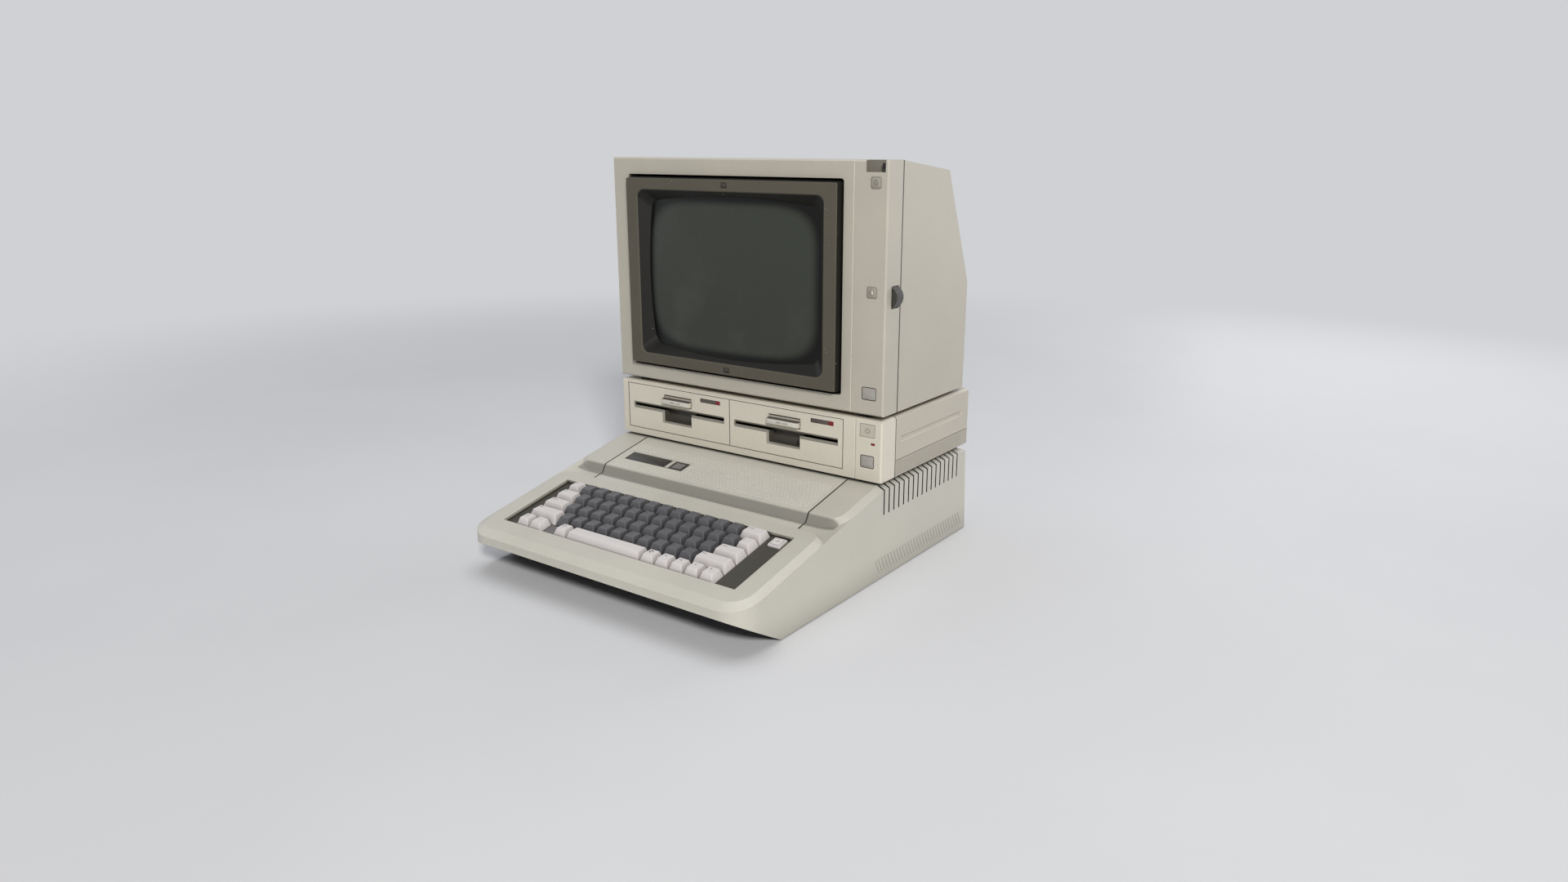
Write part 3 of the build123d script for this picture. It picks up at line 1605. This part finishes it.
def make_monitor_bezel():
    # the monitor's front shell, with a flanged window for the tilting screen
    wide = (-monitor_half_width, monitor_half_width)
    tall = (monitor_bottom, monitor_top)
    deep = (monitor_front, monitor_front + bezel_depth)
    bevel = bezel_edge_bevel
    plan = [
        (wide[0], deep[1]), (wide[0], deep[0] + bevel), (wide[0] + bevel, deep[0]),
        (wide[1] - bevel, deep[0]), (wide[1], deep[0] + bevel), (wide[1], deep[1]),
    ]
    side = [
        (deep[0] + bevel, tall[0]), (deep[0], tall[0] + bevel), (deep[0], tall[1] - bevel),
        (deep[0] + bevel, tall[1]), (deep[1], tall[1]), (deep[1], tall[0]),
    ]
    body = extrude(Pos(0, 0, tall[0]) * Polygon(*plan, align=None), tall[1] - tall[0], dir=(0, 0, 1))
    body = body & prism_x(side, *wide)
    inner = deep[0] + bezel_front_wall
    body = body - block(grown(wide, -bezel_wall), (inner, far), grown(tall, -bezel_wall))
    open_x = (screen_middle - opening_half_width, screen_middle + opening_half_width)
    open_z = (screen_height - opening_half_height, screen_height + opening_half_height)
    flange = slab_y(
        grown(open_x, flange_wall), grown(open_z, flange_wall), (inner - 1, deep[0] + flange_depth),
        opening_corner + flange_wall,
    )
    notch_x = (notch_left - notch_wall, notch_right + notch_wall)
    notch_z = (notch_bottom - notch_wall, tall[1] - 1)
    notch_body = slab_y(notch_x, notch_z, (inner - 1, deep[0] + notch_depth + notch_wall))
    boss = rod_y(wheel_x, wheel_height, wheel_boss, (inner - 1, wheel_front - wheel_slot_gap))
    boss = boss & block(wide, deep, tall)
    body = body + flange + notch_body + boss
    body = body - slab_y(open_x, open_z, (deep[0] - 1, far), opening_corner)
    body = body - slab_y((notch_left, notch_right), (notch_bottom, far), (deep[0] - 1, deep[0] + notch_depth))
    switch_x = grown((switch_left, switch_right), switch_gap)
    body = body - slab_y(switch_x, grown((switch_bottom, switch_top), switch_gap), (deep[0], far))
    body = body - rod_y(wheel_x, wheel_height, wheel_shaft + shaft_gap, (inner - 1, far))
    slot_y = grown((wheel_front, wheel_front + wheel_thickness), wheel_slot_gap)
    body = body - rod_y(wheel_x, wheel_height, wheel_radius + wheel_slot_gap, slot_y)
    body = body - front_groove(crease_x, crease_width, crease_depth, deep[0])
    body = body - slab_y(
        (monitor_emblem_left, monitor_emblem_right), (monitor_emblem_bottom, monitor_emblem_top),
        (deep[0] - 1, deep[0] + emblem_depth), emblem_corner,
    )
    bore_radius = tilt_pin_radius + shaft_gap
    bores = [rod_x(tilt_axis_y, screen_height, bore_radius, pair) for pair in tilt_pin_spans()]
    return body - bores


def tilt_pin_spans():
    # X limits of the two tilt pins, left and right, heads left out
    left = screen_middle - opening_half_width - flange_wall
    right = screen_middle + opening_half_width + flange_wall
    return [(left, left + tilt_pin_length), (right - tilt_pin_length, right)]


def make_tilt_pins():
    (left, left_end), (right_end, right) = tilt_pin_spans()
    y, z = tilt_axis_y, screen_height
    head = tilt_pin_head_length
    one = rod_x(y, z, tilt_pin_radius, (left - head, left_end))
    two = rod_x(y, z, tilt_pin_radius, (right_end, right + head))
    left_head = rod_x(y, z, tilt_pin_head, (left - head, left))
    right_head = rod_x(y, z, tilt_pin_head, (right, right + head))
    return [one + left_head, two + right_head]


def housing_outline():
    return [
        (housing_front, monitor_bottom), (housing_front, housing_top_front),
        (housing_shoulder, housing_shoulder_height), (housing_rear, housing_rear_height),
        (housing_foot_rear, monitor_bottom),
    ]


def monitor_screw_places():
    z = monitor_bottom + 3 * screw_head
    return [(side * (monitor_half_width - 4 * screw_head), housing_foot_rear, z) for side in (-1, 1)]


def make_monitor_housing():
    # the monitor's rear shell with roof vents and posts for its board
    wide = (-monitor_half_width, monitor_half_width)
    body = prism_x(housing_outline(), *wide)
    face = Plane((-monitor_half_width, 0, 0), (0, 1, 0), (1, 0, 0)) * Polygon(*housing_outline(), align=None)
    inside = offset(face, -housing_wall, kind=Kind.INTERSECTION)
    inner = extrude(inside, 2 * monitor_half_width, dir=(1, 0, 0))
    inner = inner & block(grown(wide, -housing_wall), (0, far), (0, 2 * far))
    front = block(
        grown(wide, -housing_wall), (housing_front - 1, housing_front + housing_wall + 1),
        (monitor_bottom + housing_wall, housing_top_front - 2 * housing_wall),
    )
    body = body - inner - front
    slots = []
    high = ((monitor_bottom + monitor_top) / 2, 2 * far)
    for index in range(roof_vent_count):
        x = (index - (roof_vent_count - 1) / 2) * roof_vent_pitch
        slots.append(block(around(x, roof_vent_width), (roof_vent_front, roof_vent_rear), high))
    posts = []
    for x in (-monitor_board_half, monitor_board_half):
        inward = x - board_post_radius * x / abs(x)
        for y in (monitor_board_front + board_post_radius, monitor_board_rear - board_post_radius):
            tall = (monitor_bottom + housing_wall / 2, monitor_board_height)
            posts.append(rod_z(inward, y, board_post_radius, tall))
    body = body - slots + posts
    return body - [screw_hole(*place) for place in monitor_screw_places()]


def make_screen_frame():
    # the dark frame about the tube: drafted outside, sloping down to the glass inside
    x = (screen_middle - frame_half_width, screen_middle + frame_half_width)
    z = (screen_height - frame_half_height, screen_height + frame_half_height)
    root_x = grown(x, frame_draft)
    root_z = grown(z, frame_draft)
    root = monitor_front
    outside = funnel_y((x, z), (root_x, root_z), (face_plane, root), frame_corner, frame_corner + frame_draft)
    outside = outside + slab_y(root_x, root_z, (root, root + frame_depth), frame_corner + frame_draft)
    window_x = (screen_middle - window_half_width, screen_middle + window_half_width)
    window_z = (screen_height - window_half_height, screen_height + window_half_height)
    narrow = window_slope * window_depth
    window = funnel_y(
        (window_x, window_z), (grown(window_x, -narrow), grown(window_z, -narrow)),
        (face_plane, face_plane + window_depth), window_corner, window_corner,
    )
    glass = glass_block(glass_gap) + slab_y(
        (screen_middle - glass_half_width + narrow, screen_middle + glass_half_width - narrow),
        (screen_height - glass_half_height + narrow, screen_height + glass_half_height - narrow),
        (face_plane + 1, far),
    )
    hollow = slab_y(
        grown(root_x, -frame_wall), grown(root_z, -frame_wall), (root + frame_web, far), frame_corner,
    )
    body = outside - window - glass - hollow
    bore_radius = tilt_pin_radius + shaft_gap
    bores = [rod_x(tilt_axis_y, screen_height, bore_radius, pair) for pair in tilt_pin_spans()]
    return body - bores


def glass_ball(set_back):
    # the sphere that the screen's front face is cut from
    return Pos(screen_middle, face_plane + set_back + glass_radius, screen_height) * Sphere(glass_radius)


def glass_block(gap):
    # the space of the tube's face, widened by a gap on every side and in front
    x = (screen_middle - glass_half_width - gap, screen_middle + glass_half_width + gap)
    z = (screen_height - glass_half_height - gap, screen_height + glass_half_height + gap)
    slab = slab_y(x, z, (face_plane - 1, 2 * glass_rim), glass_corner)
    return slab & glass_ball(glass_set_back - gap)


def make_picture_tube():
    # the glass: face, funnel and neck, hollow, with its base closing the neck
    x = (screen_middle - glass_half_width, screen_middle + glass_half_width)
    z = (screen_height - glass_half_height, screen_height + glass_half_height)
    small_x = (screen_middle - funnel_half, screen_middle + funnel_half)
    small_z = (screen_height - funnel_half, screen_height + funnel_half)
    neck_corner = funnel_half - 1
    panel = slab_y(x, z, (face_plane - 1, glass_rim), glass_corner) & glass_ball(glass_set_back)
    funnel = funnel_y((x, z), (small_x, small_z), (glass_rim, funnel_end), glass_corner, neck_corner)
    neck = rod_y(screen_middle, screen_height, neck_radius, (funnel_end, neck_end))
    body = panel + funnel + neck
    t = neck_wall
    deep = slab_y(grown(x, -2 * t), grown(z, -2 * t), (face_plane, glass_rim), glass_corner - t)
    deep = deep & glass_ball(glass_set_back + glass_thickness)
    cone = funnel_y(
        (grown(x, -2 * t), grown(z, -2 * t)), (grown(small_x, -2 * t), grown(small_z, -2 * t)),
        (glass_rim, funnel_end), glass_corner - t, neck_corner - 2 * t,
    )
    bore = rod_y(screen_middle, screen_height, neck_radius - t, (funnel_end - 1, neck_end + 1))
    base = rod_y(screen_middle, screen_height, neck_radius, (neck_end, neck_end + tube_base_length))
    return [body - deep - cone - bore, base]


def make_yoke():
    # the deflection coils, clamped about the tube's neck
    y = (funnel_end, funnel_end + yoke_length)
    near = Plane((screen_middle, y[0], screen_height), (1, 0, 0), (0, -1, 0))
    middle = Plane((screen_middle, sum(y) / 2, screen_height), (1, 0, 0), (0, -1, 0))
    cone = loft([near * Circle(yoke_radius), middle * Circle(yoke_barrel_radius)])
    barrel = rod_y(screen_middle, screen_height, yoke_barrel_radius, (sum(y) / 2, y[1]))
    return cone + barrel - rod_y(screen_middle, screen_height, neck_radius + yoke_gap / 2, grown(y, 1))


def make_monitor_board():
    low = monitor_board_height
    top = low + board_thickness
    y = (monitor_board_front, monitor_board_rear)
    board = block((-monitor_board_half, monitor_board_half), y, (low, top))
    transformer_x = around(monitor_board_half - transformer_inset, transformer_size)
    transformer_y = around(monitor_board_rear - transformer_size, transformer_size)
    transformer = block(transformer_x, transformer_y, (low, top + transformer_height))
    sink_x = around(-monitor_board_half + heat_sink_length, heat_sink_length)
    sink_y = around(monitor_board_rear - heat_sink_inset, heat_sink_thickness)
    sink = block(sink_x, sink_y, (low, top + heat_sink_height))
    cans = []
    for index in range(can_count):
        x = can_first + index * can_pitch
        cans.append(rod_z(x, monitor_board_front + can_inset, can_radius, (low, top + can_height)))
    return board + transformer + sink + cans


def make_contrast_wheel():
    # the toothed thumbwheel with its shaft
    y = (wheel_front, wheel_front + wheel_thickness)
    body = rod_y(wheel_x, wheel_height, wheel_radius, y)
    cutter = Rot(0, 45, 0) * block(around(0, wheel_tooth), grown(y, 1), around(0, wheel_tooth))
    notches = []
    for index in range(wheel_teeth):
        turn = Pos(wheel_x, 0, wheel_height) * Rot(0, index * 360 / wheel_teeth, 0)
        notches.append(turn * (Pos(wheel_radius, 0, 0) * cutter))
    shaft_start = monitor_front + bezel_front_wall + 1
    shaft = rod_y(wheel_x, wheel_height, wheel_shaft, (shaft_start, wheel_front))
    return body - notches + shaft


def make_monitor_power_button():
    front = monitor_front + notch_depth - switch_reach
    deep = (front, front + switch_length)
    return slab_y((switch_left, switch_right), (switch_bottom, switch_top), deep, switch_gap)


def make_screws():
    places = case_screw_places() + drive_screw_places() + monitor_screw_places()
    return [screw(*place) for place in places]


case_shell, top_lid = make_case()
save("case_shell", case_shell)
save("top_lid", top_lid)
save("lid_name_plate", make_name_plate())
save("bottom_pan", make_bottom_pan())
save("rubber_feet", *make_feet())
save("case_screws", *make_screws())

key_caps, switches = make_keys()
for key_node, cap_solids in key_caps.items():
    save(key_node, *cap_solids)
save("reset_key", make_reset_key())
save("key_switches", *switches)
save("keyboard_surround", make_surround())
save("switch_plate", make_switch_plate())
save("keyboard_board", make_key_board())
save("blank_tile", make_blank_tile())

save("main_board", make_main_board())
save("board_chips", *make_board_chips())
save("board_connectors", *make_expansion_slots(), *make_rear_ports())
save("power_supply", make_power_supply())
save("mains_inlet", make_inlet(), make_rocker_frame())
save("mains_rocker", make_rocker())

save("drive_case", make_drive_case())
save("drive_pan", make_drive_pan())
save("drive_fascia", make_drive_fascia())
save("drive_power_button", make_drive_power_button())
save("drive_faces", *make_drive_faces())
save("drive_lamps", *make_lamps())
save("drive_boards", *make_drive_boards())
for side_name, drive_middle in zip(("left", "right"), drive_middles()):
    save(side_name + "_latch", make_latch(drive_middle))
    save(side_name + "_chassis", make_chassis(drive_middle))
    save(side_name + "_spindle", make_spindle(drive_middle))
    save(side_name + "_head_carriage", make_carriage(drive_middle))

save("monitor_bezel", make_monitor_bezel())
save("monitor_housing", make_monitor_housing())
save("screen_frame", make_screen_frame())
save("picture_tube", *make_picture_tube())
save("deflection_yoke", make_yoke())
save("tilt_pins", *make_tilt_pins())
save("monitor_board", make_monitor_board())
save("contrast_wheel", make_contrast_wheel())
save("monitor_power_button", make_monitor_power_button())
